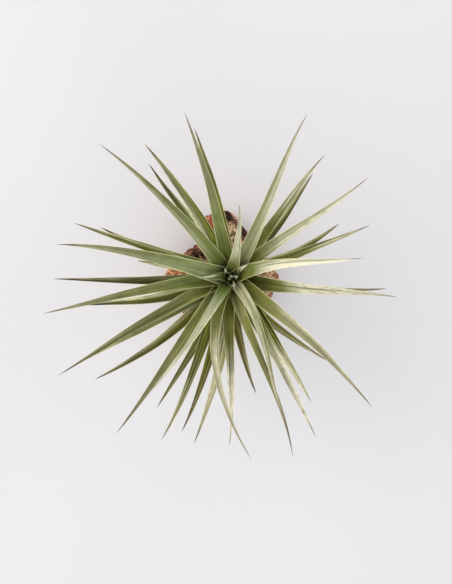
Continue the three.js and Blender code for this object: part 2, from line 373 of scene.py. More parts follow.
@dataclass(frozen=True)
class LivingLeaf(Finish):
    """Living air-plant leaf: a stiff blade under a thin coat of silvery scales.

    Under the scales the blade greys towards the tip, where a brown thread of it is dead; its deep green near
    the stem is painted shade, where the leaves shade each other. The nerves show as faint lines along it.
    Its margins are thin and dry, so the eye sees a crisp cream line on either side. Sun bleaches it to cream
    in streaks with brown flecks, and part of that cream is painted light. Painted shade darkens some halves
    of the blades, deepens the older, lower leaves beside their own deeper green, and fills the funnel of the
    heart, where only the tips of the youngest leaves are pale.
    """

    name: str = "living_leaf"
    # Painted shade: the dark first stop darkens each blade at the stem
    along: Ramp = (
        (0.0, "#4c5120"),
        (0.1, "#7a7f3b"),
        (0.32, "#7c8040"),
        (0.55, "#808149"),
        (0.76, "#868359"),
        (0.89, "#958e6c"),
        (0.975, "#6c5f47"),
    )
    # Painted shade fills the funnel of the heart in the dark lower stops; the pale tips are the young
    # leaves' own colour
    young_along_with_funnel_shade: Ramp = (
        (0.3, "#0d1105"),
        (0.52, "#2b3314"),
        (0.7, "#a9b178"),
        (0.83, "#f7f7de"),
    )
    margin: str = "#f6f0b6"
    scales: str = "#a7ac88"
    cream: str = "#eae5c8"
    fleck: str = "#8f7a4b"
    # Patterns: size across the blade in millimetres, and how many times longer they are along it
    nerves: Pair = (0.5, 45)
    streaks: Pair = (1.0, 38)
    dashes: Pair = (0.42, 9)
    scurf: Pair = (0.45, 3)
    blotch_size: float = 8.0
    # Spans of the patterns
    drift: Span = (0.3, 0.7, -0.08, 0.08)
    blotched: Span = (0.3, 0.7, 0.86, 1.14)
    streaked: Span = (0.33, 0.67, 0.45, 1.45)
    dashed: Span = (0.52, 0.64, 0.0, 0.85)
    scurfy: Span = (0.5, 0.75, 0.0, 0.16)
    # Spans of the leaf's age, from 0 for the oldest to 1 for the youngest
    unfolding: Span = (0.86, 0.93, 0.0, 1.0)
    freckled: Span = (0.6, 0.8, 1.0, 0.25)
    nerved: Span = (0.35, 0.65, 2.6, 0.75)
    ridged: Span = (0.35, 0.65, 3.2, 0.55)
    # Older, lower leaves are darker: partly their deeper green, partly painted shade from the leaves above
    aged_and_painted_shade_value: Span = (0.1, 0.5, 0.68, 0.97)
    aged_depth: Span = (0.28, 0.46, 1.25, 0.98)
    # Spans of the place along the blade, from 0 at the stem to 1 at the tip
    living: Span = (0.88, 0.99, 1.0, 0.0)
    # Painted shade at the stem: darker and a little deeper green where the leaves shade each other
    painted_stem_shade_value: Span = (0.02, 0.1, 0.6, 1.0)
    painted_stem_shade_depth: Span = (0.15, 0.5, 1.05, 1.0)
    # Spans of the tone, from -1 for painted shade to 1 where the sun bleached it, with painted light in part
    # of the cream
    wholly_pale: Span = (0.8, 1.2, 0.0, 0.55)
    painted_shade_value: Span = (-1.0, 0.0, 0.25, 1.0)
    painted_shade_depth: Span = (-1.0, 0.0, 1.2, 1.0)
    # Span of the place across the blade, from 0 at the margin to 1 in the middle
    margin_line: Span = (0.095, 0.02, 0.0, 0.95)
    # Shares: silver on the lower face, lines that bleaching and painted light hide, and scurf in the bump
    # beside the nerves
    silver_back: float = 0.3
    hidden_lines: float = 0.65
    scurf_bump: float = 0.3
    roughness: Span = (0.3, 0.7, 0.42, 0.62)
    bump: float = 0.35
    shine: float = 0.25

    def stretched(self, tree: Tree, grain: Socket, spacing: float, length: float) -> Socket:
        """Noise drawn out along the blade.

        Args:
            tree: the material's node tree.
            grain: place across and along the blade, in millimetres.
            spacing: size across the blade, in millimetres.
            length: how many times longer it is along the blade.

        Returns:
            The noise.
        """
        drawn = add(tree, "Mapping", {"Vector": grain, "Scale": (1.0, 1 / length, 1.0)})
        return add(tree, "TexNoise", {"Vector": drawn, "Scale": 1 / spacing, "Detail": 2.0})

    def green(
        self, tree: Tree, part: Socket, youth: Socket, turn: Socket, blotches: Socket
    ) -> Socket:
        """The blade's own colour, before sun, shade and scales.

        Args:
            tree: the material's node tree.
            part: place along the blade.
            youth: the leaf's age.
            turn: its turn of hue, in degrees.
            blotches: the pattern that shifts the colours along the blade.

        Returns:
            The colour.
        """
        drift = add(tree, "MapRange", (blotches, *self.drift))
        shifted = add(tree, "Math", (part, drift), operation="ADD")
        grown = add(tree, "ValToRGB", (shifted,), ramp=self.along)
        young = add(tree, "ValToRGB", (part,), ramp=self.young_along_with_funnel_shade)
        share = add(tree, "MapRange", (youth, *self.unfolding))
        plain = add(tree, "Mix", {0: share, 6: grown, 7: young}, out=2, data_type="RGBA")
        hue = add(tree, "Math", (turn, 1 / 360, 0.5), operation="MULTIPLY_ADD")
        return add(tree, "HueSaturation", {"Hue": hue, "Color": plain})

    def paint(self, tree: Tree) -> None:
        """Paints every living leaf and the stem.

        Args:
            tree: the material's node tree.
        """
        grain, place, mood = (
            add(tree, "Attribute", out="Vector", attribute_name=name.value)
            for name in (Attribute.GRAIN, Attribute.PLACE, Attribute.TONE)
        )
        part, inwards, under = add(tree, "SeparateXYZ", (place,)).node.outputs
        youth, tone, turn = add(tree, "SeparateXYZ", (mood,)).node.outputs
        patterns = (self.nerves, self.streaks, self.dashes, self.scurf)
        nerves, streaks, dashes, scurf = (self.stretched(tree, grain, *size) for size in patterns)
        blotches = add(tree, "TexNoise", {"Vector": grain, "Scale": 1 / self.blotch_size, "Detail": 2.0})

        # Cream where the sun bleached the blade, and partly painted light
        streaked = add(tree, "MapRange", (streaks, *self.streaked))
        whole = add(tree, "MapRange", (tone, *self.wholly_pale))
        bleached_and_lit = add(tree, "Math", (tone, streaked, whole), operation="MULTIPLY_ADD", use_clamp=True)
        bleached_and_lit = grade(tree, bleached_and_lit, ((part, self.living),))
        flecked = grade(tree, bleached_and_lit, ((dashes, self.dashed), (youth, self.freckled)))
        scurfy = add(tree, "MapRange", (scurf, *self.scurfy))
        backed = add(tree, "Math", (under, self.silver_back), operation="MULTIPLY")
        shares = (bleached_and_lit, flecked, scurfy, backed)
        colour = self.green(tree, part, youth, turn, blotches)
        for share, layer in zip(shares, (self.cream, self.fleck, self.scales, self.scales), strict=True):
            colour = add(tree, "Mix", {0: share, 6: colour, 7: layer}, out=2, data_type="RGBA")

        value = 1.0
        for pattern, span in ((nerves, self.nerved), (streaks, self.ridged)):
            uneven = add(tree, "Math", (pattern, 0.5), operation="SUBTRACT")
            strength = add(tree, "MapRange", (youth, *span))
            lines = add(tree, "Math", (uneven, strength, 1.0), operation="MULTIPLY_ADD")
            value = add(tree, "Math", (value, lines), operation="MULTIPLY")
        value = grade(tree, value, ((youth, self.aged_and_painted_shade_value), (blotches, self.blotched)))
        # Painted shade: negative tones and the place by the stem darken the blade
        value = grade(tree, value, ((tone, self.painted_shade_value), (part, self.painted_stem_shade_value)))
        hidden = add(tree, "Math", (bleached_and_lit, self.hidden_lines), operation="MULTIPLY")
        value = add(tree, "Mix", {0: hidden, 2: value, 3: 1.0})
        depths = ((tone, self.painted_shade_depth), (youth, self.aged_depth), (part, self.painted_stem_shade_depth))
        depth = grade(tree, 1.0, depths)
        lined = add(tree, "HueSaturation", {"Saturation": depth, "Value": value, "Color": colour})
        edge = grade(tree, 1.0, ((inwards, self.margin_line), (part, self.living)))
        edged = add(tree, "Mix", {0: edge, 6: lined, 7: self.margin}, out=2, data_type="RGBA")

        height = add(tree, "Math", (scurf, self.scurf_bump, nerves), operation="MULTIPLY_ADD")
        self.close(tree, edged, scurf, height)


@dataclass(frozen=True)
class DryLeaf(Finish):
    """Withered leaf: brittle straw, split along its fibres, that shows tan lines over brown."""

    name: str = "dry_leaf_straw"
    brown: str = "#6e5337"
    fibres: Ramp = ((0.3, "#3f2f21"), (0.5, "#6e5337"), (0.68, "#b59a6f"))
    fibre_spacing: float = 0.5
    fibre_length: float = 12.5
    stain_size: float = 4.55
    stained: Span = (0.4, 0.7, 0.0, 0.7)
    roughness: Span = (0.3, 0.7, 0.65, 0.9)
    bump: float = 0.8
    bump_depth: float = 0.3
    shine: float = 0.2

    def paint(self, tree: Tree) -> None:
        """Paints the dry foot and its leaves.

        Args:
            tree: the material's node tree.
        """
        grain = add(tree, "Attribute", out="Vector", attribute_name=Attribute.GRAIN.value)
        along = add(tree, "Mapping", {"Vector": grain, "Scale": (1.0, 1 / self.fibre_length, 1.0)})
        fibres = add(tree, "TexNoise", {"Vector": along, "Scale": 1 / self.fibre_spacing, "Detail": 4.0})
        stains = add(tree, "TexNoise", {"Vector": grain, "Scale": 1 / self.stain_size, "Detail": 3.0})
        lines = add(tree, "ValToRGB", (fibres,), ramp=self.fibres)
        share = add(tree, "MapRange", (stains, *self.stained))
        colour = add(tree, "Mix", {0: share, 6: lines, 7: self.brown}, out=2, data_type="RGBA")
        self.close(tree, colour, fibres, fibres)


@dataclass(frozen=True)
class WiryRoot(Finish):
    """Air-plant root: a thin hard dark-brown wire with a dull scurfy bark."""

    name: str = "wiry_root_bark"
    bark: Ramp = ((0.4, "#4b3a2b"), (0.7, "#7c644a"))
    scurf_size: float = 0.6
    roughness: Span = (0.3, 0.7, 0.6, 0.85)
    bump: float = 0.6

    def paint(self, tree: Tree) -> None:
        """Paints the crown and the roots.

        Args:
            tree: the material's node tree.
        """
        spot = add(tree, "TexCoord", out="Object")
        size = {"Vector": spot, "Scale": 1 / (self.scurf_size * METRES), "Detail": 4.0}
        scurf = add(tree, "TexNoise", size)
        self.close(tree, add(tree, "ValToRGB", (scurf,), ramp=self.bark), scurf, scurf)


@dataclass(frozen=True)
class RedScoria(Finish):
    """Red lava rock, or scoria: glassy foam that rusted as it cooled, then broke.

    Rust gives patches from purple-black to orange, and the lit orange patches are partly painted light. The
    broken walls between the gas pits catch tan light, and painted shade keeps the pits dark. Grains of half
    a millimetre to two make it gritty.
    """

    name: str = "red_scoria"
    rust_and_light: Ramp = (
        (0.0, "#241813"),
        (0.25, "#5d3a31"),
        (0.5, "#894c37"),
        (0.75, "#b36840"),
        (1.0, "#d99163"),
    )
    tan: str = "#ddbf92"
    pit_shade: str = "#241812"
    # Patterns: size in millimetres, and for the noises their detail and roughness
    waves: Triple = (2.2, 4.0, 0.65)
    grit: Triple = (0.8, 3.0, 0.7)
    pit_spacing: float = 1.6
    grain_size: float = 0.9
    waved: Span = (0.3, 0.7, -0.2, 0.2)
    grained: Span = (0.0, 1.0, -0.2, 0.2)
    # Painted shade in the pits: pitted and hollowed darken them towards pit_shade
    pitted: Span = (0.26, 0.4, 0.85, 0.0)
    hollowed: Span = (0.25, 0.95, 0.0, 0.8)
    gritty: Span = (0.3, 0.7, 0.55, 1.45)
    grain_bump: float = 0.8
    roughness: Span = (0.3, 0.7, 0.75, 0.98)
    bump: float = 0.9
    bump_depth: float = 0.5
    shine: float = 0.08

    def paint(self, tree: Tree) -> None:
        """Paints the rock.

        Args:
            tree: the material's node tree.
        """
        spot = add(tree, "TexCoord", out="Object")
        place = add(tree, "Attribute", out="Vector", attribute_name=Attribute.PLACE.value)
        hollow, rust_and_light, tan = add(tree, "SeparateXYZ", (place,)).node.outputs
        noises = []
        for size, detail, rough in (self.waves, self.grit):
            noise = {"Vector": spot, "Scale": 1 / (size * METRES), "Detail": detail, "Roughness": rough}
            noises.append(add(tree, "TexNoise", noise))
        waves, grit = noises
        pits, grains = (
            add(tree, "TexVoronoi", {"Vector": spot, "Scale": 1 / (size * METRES)}).node.outputs
            for size in (self.pit_spacing, self.grain_size)
        )
        single = add(tree, "SeparateColor", (grains["Color"],), out="Red")

        wave_shift = add(tree, "MapRange", (waves, *self.waved))
        grain_shift = add(tree, "MapRange", (single, *self.grained))
        shift = add(tree, "Math", (wave_shift, grain_shift), operation="ADD")
        shifted_rust_and_light = add(tree, "Math", (rust_and_light, shift), operation="ADD")
        tanned = add(tree, "Math", (tan, shift), operation="ADD", use_clamp=True)
        # Painted shade darkens the small pits and the carved ones
        pitted = add(tree, "MapRange", (pits["Distance"], *self.pitted))
        hollowed = add(tree, "MapRange", (hollow, *self.hollowed))
        colour = add(tree, "ValToRGB", (shifted_rust_and_light,), ramp=self.rust_and_light)
        for share, layer in ((tanned, self.tan), (pitted, self.pit_shade), (hollowed, self.pit_shade)):
            colour = add(tree, "Mix", {0: share, 6: colour, 7: layer}, out=2, data_type="RGBA")
        value = add(tree, "MapRange", (grit, *self.gritty))
        worn = add(tree, "HueSaturation", {"Value": value, "Color": colour})
        height = add(tree, "Math", (grains["Distance"], self.grain_bump, grit), operation="MULTIPLY_ADD")
        self.close(tree, worn, grit, height)


@dataclass(frozen=True)
class SweepPaper(Finish):
    """Studio background paper: matt, pale and faintly warm."""

    name: str = "sweep_paper"
    cloudy: Ramp = ((0.3, "#e6e3e1"), (0.7, "#eceae9"))
    cloud_size: float = 250.0
    roughness: Span = (0.0, 1.0, 0.85, 0.95)
    bump: float = 0.05
    bump_depth: float = 0.5

    def paint(self, tree: Tree) -> None:
        """Paints the floor.

        Args:
            tree: the material's node tree.
        """
        spot = add(tree, "TexCoord", out="Object")
        size = {"Vector": spot, "Scale": 1 / (self.cloud_size * METRES), "Detail": 1.0}
        cloud = add(tree, "TexNoise", size)
        self.close(tree, add(tree, "ValToRGB", (cloud,), ramp=self.cloudy), cloud, cloud)


def fill(
    values: dict[Attribute, tuple[np.ndarray | float, ...]], shape: tuple[int, int]
) -> dict[Attribute, np.ndarray]:
    """Spreads the three numbers of each attribute over all points.

    Args:
        values: for each attribute, three numbers, rows or columns.
        shape: rings x points round.

    Returns:
        For each attribute, an array of rings x points round x 3.
    """
    return {
        name: np.stack([np.broadcast_to(np.asarray(part, float), shape) for part in parts], -1)
        for name, parts in values.items()
    }


def stem_middle(height: np.ndarray | float) -> np.ndarray:
    """The stem's middle: a straight line from the foot on the rock to the heart.

    Args:
        height: millimetres above the table.

    Returns:
        The middle at each height.
    """
    part = np.asarray((height - DRY_BOTTOM) / (STEM_TOP - DRY_BOTTOM))[..., None]
    level = mix(STEM_FOOT, HEART, part)
    return np.concatenate([level, np.broadcast_to(np.asarray(height)[..., None], part.shape)], -1)


@dataclass
class Blade:
    """One leaf, as a channelled blade that narrows to a thread.

    Its middle line rises at an angle that falls from the stem to the tip as (1 - s)^bend of its length s,
    and its bearing passes through the three that are given for the stem, half way out and the tip. Its
    width falls as (1 - s)^taper. Across it, the upper face is a channel whose depth grows with the power
    channel_power of |a| from the middle a = 0 to the margins a = 1 and -1, and the lower face lies under it
    by a thickness that falls as 1 - |a|^rib_power. Each half has a tone that comes in outwards: 1 is
    bleached by the sun and partly painted light, 0 is green and -1 is painted shade.
    """

    root: np.ndarray
    reach: float
    bearings: Triple
    width: float
    rise_at_stem: float
    rise_at_tip: float
    roll: float
    age: float
    tones: Pair = (0.0, 0.0)
    tones_from: float = 0.14
    first_tone: float = 0.0
    hue: float = 0.0
    root_radius: float = 1.5
    seed: int = 0
    sway: float = 0.5
    twist: float = 10.0
    sway_waves: float = 3.2
    thick: float = 1.25
    thick_at_tip: float = 0.08
    full_thick_width: float = 6.0
    margin_thick: float = 0.28
    thread_half: float = 0.14
    channel_power: float = 1.15
    rib_power: float = 2.2
    tone_run: float = 0.2
    channel_at_stem: float = 0.17
    channel_at_tip: float = 0.32
    taper: float = 0.92
    bend: float = 1.6
    crinkle: float = 0.0
    rows: int = 72
    columns: int = 16

    def middle_line(self) -> tuple[np.ndarray, np.ndarray]:
        """Works out the middle line.

        Returns:
            Points at equal steps of length, and how far out each one is as a part of the whole way.
        """
        fine = 4
        count = self.rows * fine
        left = 1 - (np.arange(count) + 0.5) / count
        rise = np.radians(mix(self.rise_at_tip, self.rise_at_stem, left**self.bend))
        out = np.concatenate([[0], np.cumsum(np.cos(rise))]) / count
        up = np.concatenate([[0], np.cumsum(np.sin(rise))]) / count
        length = (self.reach - self.root_radius) / out[-1]
        share = out / out[-1]
        first, half_way, last = self.bearings
        bearing = (
            first * (2 * share - 1) * (share - 1)
            + 4 * half_way * share * (1 - share)
            + last * share * (2 * share - 1)
        )
        line = compass(bearing) * (self.root_radius + length * out)[:, None]
        line[:, :2] += mix(HEART, self.root[:2], ((1 - share) ** 2)[:, None])
        line[:, 2] = self.root[2] + length * up
        ends = np.sin(np.pi * share) ** 2
        along = np.linspace(0, 1, count + 1)
        for axis in (0, 1, 2):
            line[:, axis] += self.sway * ends * wander(along * self.sway_waves, self.seed + 50 * axis)
        return line[::fine], along[::fine]

    def rings(self) -> Rings:
        """Works out the blade's skin.

        Returns:
            The rings from the stem to the tip, and the point attributes.
        """
        line, part = self.middle_line()
        forward = unit(np.gradient(line, axis=0))
        side = unit(np.stack([-forward[:, 1], forward[:, 0], 0 * part], -1))
        above = np.cross(forward, side)
        turn = np.radians(self.roll + self.twist * np.sin(np.pi * part) * np.sin(self.seed * 1.7))[:, None]
        side, above = side * np.cos(turn) + above * np.sin(turn), above * np.cos(turn) - side * np.sin(turn)

        half = 0.5 * self.width * np.maximum(1 - part, 1e-6) ** self.taper
        half = np.maximum(half, self.thread_half * (1.02 - part))
        depth = 2 * half * mix(self.channel_at_stem, self.channel_at_tip, part)
        thick = self.thick * min(1, self.width / self.full_thick_width)
        thick = thick * np.minimum(1, (1 - part) * 1.6 + self.thick_at_tip)
        thick = np.minimum(thick, 1.1 * half)
        rim = np.minimum(self.margin_thick, 0.5 * thick)

        even = np.linspace(-1, 1, self.columns + 1)
        spread = 0.5 * even + 0.5 * np.sin(even * np.pi / 2)
        across = np.concatenate([spread[::-1], spread[1:-1]])
        under = np.concatenate([np.zeros(self.columns + 1), np.ones(self.columns - 1)])
        size = np.abs(across)[None, :]
        raised = depth[:, None] * size**self.channel_power
        rib = rim[:, None] + (thick - rim)[:, None] * (1 - size**self.rib_power)
        raised = raised - under[None, :] * rib
        edge = (np.abs(across) > 0.999).astype(float)[None, :]
        raised = raised - edge * 0.5 * rim[:, None]
        if self.crinkle:
            spots = np.stack(np.broadcast_arrays(part[:, None] * 9, across[None, :] * 2, 0.3), -1)
            raised = raised + self.crinkle * value_noise(spots, self.seed) * np.minimum(1, half / 2)[:, None]
        rings = line[:, None] + side[:, None] * (across[None, :] * half[:, None])[..., None]
        rings = rings + above[:, None] * raised[..., None]

        walked = np.concatenate([[0], np.cumsum(np.linalg.norm(np.diff(line, axis=0), axis=1))])
        # The tones, and first_tone before they set in, are sun-bleaching with painted light where positive
        # and painted shade where negative
        outwards = np.clip((part - self.tones_from) / self.tone_run, 0, 1)[:, None]
        left, right = self.tones
        tone = mix(self.first_tone, mix(right, left, np.clip(0.5 + 1.5 * across, 0, 1))[None, :], outwards)
        values = {
            Attribute.GRAIN: (across[None, :] * half[:, None], walked[:, None], self.seed * 13.7),
            Attribute.PLACE: (part[:, None], 1 - size, under[None, :]),
            Attribute.TONE: (self.age, tone, self.hue),
        }
        return rings, fill(values, rings.shape[:2])


# Every living leaf: age from 0 (oldest) to 1, reach of the tip from the heart, its bearings at the stem,
# half way out and at the tip, the width of the blade near the stem, the tones of its left and right half,
# its turn of hue in degrees, and for some how far out the tones set in and the tone before that. The rows
# were read from the photo, and most were then corrected by a fit of the model to the photo.
# The tones are bleaching with painted light where positive and painted shade where negative, as is the tone
# before they set in
HEART_LEAVES = [
    (0.99, 1.2, 150, 150, 150, 3.4, 0.8, 0.2, 7, 0.5, 0),
    (0.975, 2, 60, 70, 90, 4.2, 0.1, 0.1, 5),
    (0.96, 4, 10, 18, 23, 4.6, 0.9, 0.3, 6, 0.5, 0),
    (0.945, 5, -80, -70, -66, 4.8, 1.2, 1.2, 10, 0.45, 0),
    (0.93, 6.4, 130, 124, 119, 5, -0.35, 0.05, 4),
    (0.9, 11.4, 60, 48, 41, 5.4, 0.6, 0.9, 8, 0.5, -0.1),
    (0.87, 17, 160, 174, 178, 6, -0.3, 0.65, 12, 0.4, 0),
    (0.84, 37.1, 73.2, 78, 84, 7.9, 0.45, 0.4, 2, 0.25, 0),
]
HALF_GROWN_LEAVES = [
    (0.8, 65, 26.5, 13.5, 9, 8.8, 0.55, 1.15, 5, 0.22, -0.05),
    (0.78, 67.3, -119.8, -122.5, -125.5, 6.7, 0.5, 0.4, 16),
    (0.76, 73.2, -44, -63.6, -68.8, 6.3, 0, 0.6, 2, 0.25, 0.45),
]
UPPER_LEAVES = [
    (0.72, 86.3, 163.6, 164.9, 169, 10.4, 0.1, -0.05, 7, 0.25, 0.12),
    (0.7, 87.9, 57.1, 64.5, 65.2, 9.3, 0.1, 0.5, 1, 0.25, 0.25),
    (0.67, 91.8, 126.2, 130, 134.4, 8.9, 0.25, -0.15, 5),
    (0.65, 85.1, 99.4, 102.9, 105.6, 8.8, 0.05, 0, 5, 0.25, -0.3),
    (0.63, 84, 41, 36.7, 36.5, 8.8, 0.35, 0.65, 3, 0.25, -0.1),
    (0.61, 93.8, -32.2, -37.6, -42.3, 9.5, 0.45, 0.15, -4, 0.25, -0.15),
    (0.59, 90, -117.5, -98.8, -83.4, 7.4, 0.45, 0.3, -4, 0.25, -0.25),
    (0.57, 94.9, -177, -172, -169.5, 8.9, -0.2, -0.1, 3),
    (0.55, 93.6, -75, -69, -70.9, 6.5, -0.7, -0.05, -5, 0.25, 0.1),
    (0.54, 83.1, -13.9, -7.4, -6.2, 9.4, 0.95, 0.6, -1, 0.27, -0.65),
    (0.52, 98.6, -158, -153.2, -150.8, 8.2, -0.75, 0.05, 1, 0.25, 0),
    (0.5, 95.9, -132, -127.5, -126.6, 8.8, -0.15, -0.3, -3, 0.25, 0.05),
    (0.47, 89.6, -56, -59.8, -61.7, 8.8, 0.95, 0.85, 5, 0.36, -0.4),
    (0.44, 90, -147, -150.6, -151, 9, 0, -0.15, 6, 0.25, 0.15),
    (0.43, 84, -96.5, -90.6, -90.5, 8, 1, 0.8, -5, 0.42, -0.05),
    (0.42, 89.8, -176, -178.9, -180.1, 7.9, -0.9, 0.35, -2),
]
LOWER_LEAVES = [
    (0.4, 78.8, 48.4, 53.4, 52.9, 8, 0.7, 0.3, 5, 0.45, -0.3),
    (0.38, 75.9, 17.5, 20, 21.2, 7.5, 0.2, 0.4, 1, 0.5, -0.2),
    (0.37, 85.8, -91, -97.6, -102.7, 8.6, 0.25, 0.55, 1),
    (0.36, 89.1, -116, -112.3, -113.4, 8.3, 0.2, 0.1, -2, 0.45, -0.2),
    (0.34, 81.7, 116.2, 118.8, 122.5, 9.4, 0.75, -0.15, 4),
    (0.33, 79.7, -11, -7.3, -3.4, 7.4, 0.5, 0.5, -1),
    (0.31, 85, 157, 159.5, 160.2, 7.5, -0.45, 0.35, 4, 0.25, 0.15),
    (0.3, 79.7, 95.8, 100.1, 103.6, 8, 0, -0.35, 0),
    (0.29, 82, -102, -104.3, -107.9, 7.9, 0, -0.15, -4),
    (0.28, 75, -51, -54.3, -56.8, 8.4, 0.7, 1.1, 5, 0.46, -0.35),
    (0.27, 86.7, -134, -138.6, -143.7, 8.2, -0.65, 0.45, -3),
    (0.25, 63, 15.5, 21.7, 27.3, 7.9, 0.4, -0.75, 12),
    (0.24, 76.4, -110.3, -117.2, -119.9, 7.1, 0, 0.2, 0),
    (0.22, 73.4, 119.4, 124.2, 125.3, 7.2, -0.3, 0.35, 7),
    (0.21, 69.4, 41, 48.4, 52.3, 8.1, 0.5, -0.9, 2),
    (0.2, 65, -57, -46.2, -40.1, 7, -0.2, 0.45, -8),
    (0.18, 75.8, -154, -165, -169.9, 8.6, -0.9, 0.4, 6),
    (0.17, 73.1, 155.5, 159, 158.1, 7.1, 0, 0, -3),
    (0.16, 60.5, -85, -81.8, -77.5, 7.2, 0.3, -0.5, -11),
]
OLDEST_LEAVES = [
    (0.14, 46, 36, 37, 37, 7, 0, 0, -2),
    (0.13, 52, -172, -173, -171, 7, 0, 0, 0),
    (0.12, 48, 124, 127, 129, 7, 0, 0, -1),
    (0.11, 46, -40, -38, -39, 7, 0, 0, -3),
    (0.09, 46, -128, -125, -127, 7, 0, 0, 0),
    (0.08, 43, 66, 62, 62, 6.8, 0, 0, -2),
    (0.06, 45, -74, -72, -71, 6.8, 0, 0, 1),
    (0.05, 50, 164, 167.5, 168.5, 7.6, 0.5, 0, -1),
    (0.03, 42, -6, -7, -7, 6.6, 0, 0, -3),
    (0.01, 40, 98, 102, 103, 6.6, 0, 0, 0),
]


@dataclass
class Rosette:
    """The living plant: a short leaning stem and its leaves, oldest at the bottom."""

    ages: tuple[float, ...] = (0, 0.2, 0.4, 0.6, 0.8, 0.9, 1)
    rise_at_stem: tuple[float, ...] = (20, 34, 46, 55, 64, 74, 87)
    rise_at_tip: tuple[float, ...] = (-22, -10, 2, 12, 30, 52, 84)
    taper: tuple[float, ...] = (0.75, 0.75, 0.84, 0.92, 0.92, 0.92, 0.92)
    roll_spread: float = 9.0
    roll_seed: int = 7
    lowest_root: float = STEM_BOTTOM + 2
    highest_root: float = STEM_TOP - 2
    stem_profile: Profile = ((0, 4.9), (0.03, 5.4), (0.6, 4.6), (0.94, 2.4), (1, 0.6))
    stem_end: float = STEM_TOP - 0.4

    def blade(self, row: tuple[float, ...], number: int, roll: float) -> Blade:
        """Sets up a leaf from its row of the table.

        Args:
            row: age, reach, three bearings, width, the tones of the left and the right half and the turn
                of hue; perhaps also where the tones set in and the tone before that.
            number: the leaf's place in the whole plant, which seeds its small irregularities.
            roll: how far it is rolled about its length.

        Returns:
            The blade.
        """
        age, reach, first, half_way, last, width, left, right, hue, *late = row
        return Blade(
            root=stem_middle(mix(self.lowest_root, self.highest_root, age)),
            reach=reach,
            bearings=(first, half_way, last),
            width=width,
            rise_at_stem=float(np.interp(age, self.ages, self.rise_at_stem)),
            rise_at_tip=float(np.interp(age, self.ages, self.rise_at_tip)),
            taper=float(np.interp(age, self.ages, self.taper)),
            roll=roll,
            age=age,
            tones=(left, right),
            hue=hue,
            root_radius=min(Blade.root_radius, reach / 3),
            seed=number + TABLE_LEAF_SEED,
            **dict(zip(("tones_from", "first_tone"), late)),
        )

    def stem(self) -> Rings:
        """Works out the stem's skin: circles about its leaning middle, with the radius of a blunt spindle.

        Returns:
            The rings from the bottom to the top, and the point attributes.
        """
        height = np.linspace(STEM_BOTTOM, self.stem_end, 30)[:, None]
        part = (height - STEM_BOTTOM) / (STEM_TOP - STEM_BOTTOM)
        turn = around(40)[None, :]
        rings = circles(stem_middle(height[:, 0]), follow(self.stem_profile, part) + 0 * turn)
        values = {
            Attribute.GRAIN: (np.radians(turn) * 5, height, 0.0),
            Attribute.PLACE: (0.0, 1.0, 0.0),
            Attribute.TONE: (0.3, 0.0, 0.0),
        }
        return rings, fill(values, rings.shape[:2])

    def build(self, material: bpy.types.Material) -> None:
        """Makes the leaves in five pieces, from the heart down to the oldest, with the stem in the last.

        Args:
            material: the living leaf.
        """
        groups = {
            "rosette_heart_leaves": HEART_LEAVES,
            "rosette_half_grown_leaves": HALF_GROWN_LEAVES,
            "rosette_upper_leaves": UPPER_LEAVES,
            "rosette_lower_leaves": LOWER_LEAVES,
            "rosette_oldest_leaves": OLDEST_LEAVES,
        }
        random = Seeded(self.roll_seed)
        number = 0
        for name, rows in groups.items():
            skin = Skin()
            for row in rows:
                roll = self.roll_spread * (2 * random.next() - 1)
                skin.add(*self.blade(row, number, roll).rings())
                number += 1
            if rows is OLDEST_LEAVES:
                skin.add(*self.stem())
            settle(skin.make(name, material), "leaf_rosette")


@dataclass
class DryFoot:
    """The foot of the stem in its dry leaf bases, with withered leaves that curl down round it."""

    leaves: int = 15
    leaf_reach: Pair = (13, 25)
    leaf_width: Pair = (5, 7)
    rise_at_stem: Pair = (8, 38)
    rise_at_tip: Pair = (-16, -48)
    scatter: float = 20.0
    hook: float = 50.0
    roll: float = 30.0
    radius: float = 6.3
    profile: Profile = ((0, 0.8), (0.3, 1), (0.88, 0.9), (1, 0.7))
    folds: int = 5
    fold_winding: float = 9.0
    fold_depth: float = 0.35
    seed: int = 23
    lowest_root: float = DRY_BOTTOM + 3.2
    highest_root: float = DRY_TOP - 2.4

    def build(self, material: bpy.types.Material) -> None:
        """Makes the foot and its leaves in one piece.

        Args:
            material: the dry leaf.
        """
        skin = Skin()
        random = Seeded(self.seed)
        for index in range(self.leaves):
            bearing = index * GOLDEN_TURN + self.scatter * random.next()
            turn = self.hook * (random.next() - 0.5)
            high = index / self.leaves
            blade = Blade(
                root=stem_middle(mix(self.lowest_root, self.highest_root, high)),
                reach=random.between(*self.leaf_reach),
                bearings=(bearing, bearing + turn / 3, bearing + turn),
                width=random.between(*self.leaf_width),
                rise_at_stem=mix(*self.rise_at_stem, high),
                rise_at_tip=mix(*self.rise_at_tip, high),
                roll=self.roll * (random.next() - 0.5),
                age=0.0,
                root_radius=2.0,
                seed=index + DRY_LEAF_SEED,
                sway=0.8,
                twist=35.0,
                thick=0.7,
                channel_at_stem=0.25,
                channel_at_tip=0.6,
                crinkle=0.5,
                rows=40,
            )
            skin.add(*blade.rings())
        skin.add(*self.foot())
        settle(skin.make("dry_foot_leaves", material), "dry_foot")

    def foot(self) -> Rings:
        """Works out the foot's skin: a stump whose radius ripples where the old leaf bases wrap it.

        Returns:
            The rings from the bottom to the top, and the point attributes.
        """
        height = np.linspace(DRY_BOTTOM, DRY_TOP, 40)[:, None]
        part = (height - DRY_BOTTOM) / (DRY_TOP - DRY_BOTTOM)
        turn = np.radians(around(96))[None, :]
        ripple = self.fold_depth * np.abs(np.sin(turn * self.folds + part * self.fold_winding))
        radius = follow(self.profile, part) * self.radius - ripple - 0.2 * part
        rings = circles(stem_middle(height[:, 0]), radius)
        values = {
            Attribute.GRAIN: (turn * self.radius, height * 0.3, 0.0),
            Attribute.PLACE: (0.0, 0.0, 0.0),
            Attribute.TONE: (0.0, 0.0, 0.0),
        }
        return rings, fill(values, rings.shape[:2])


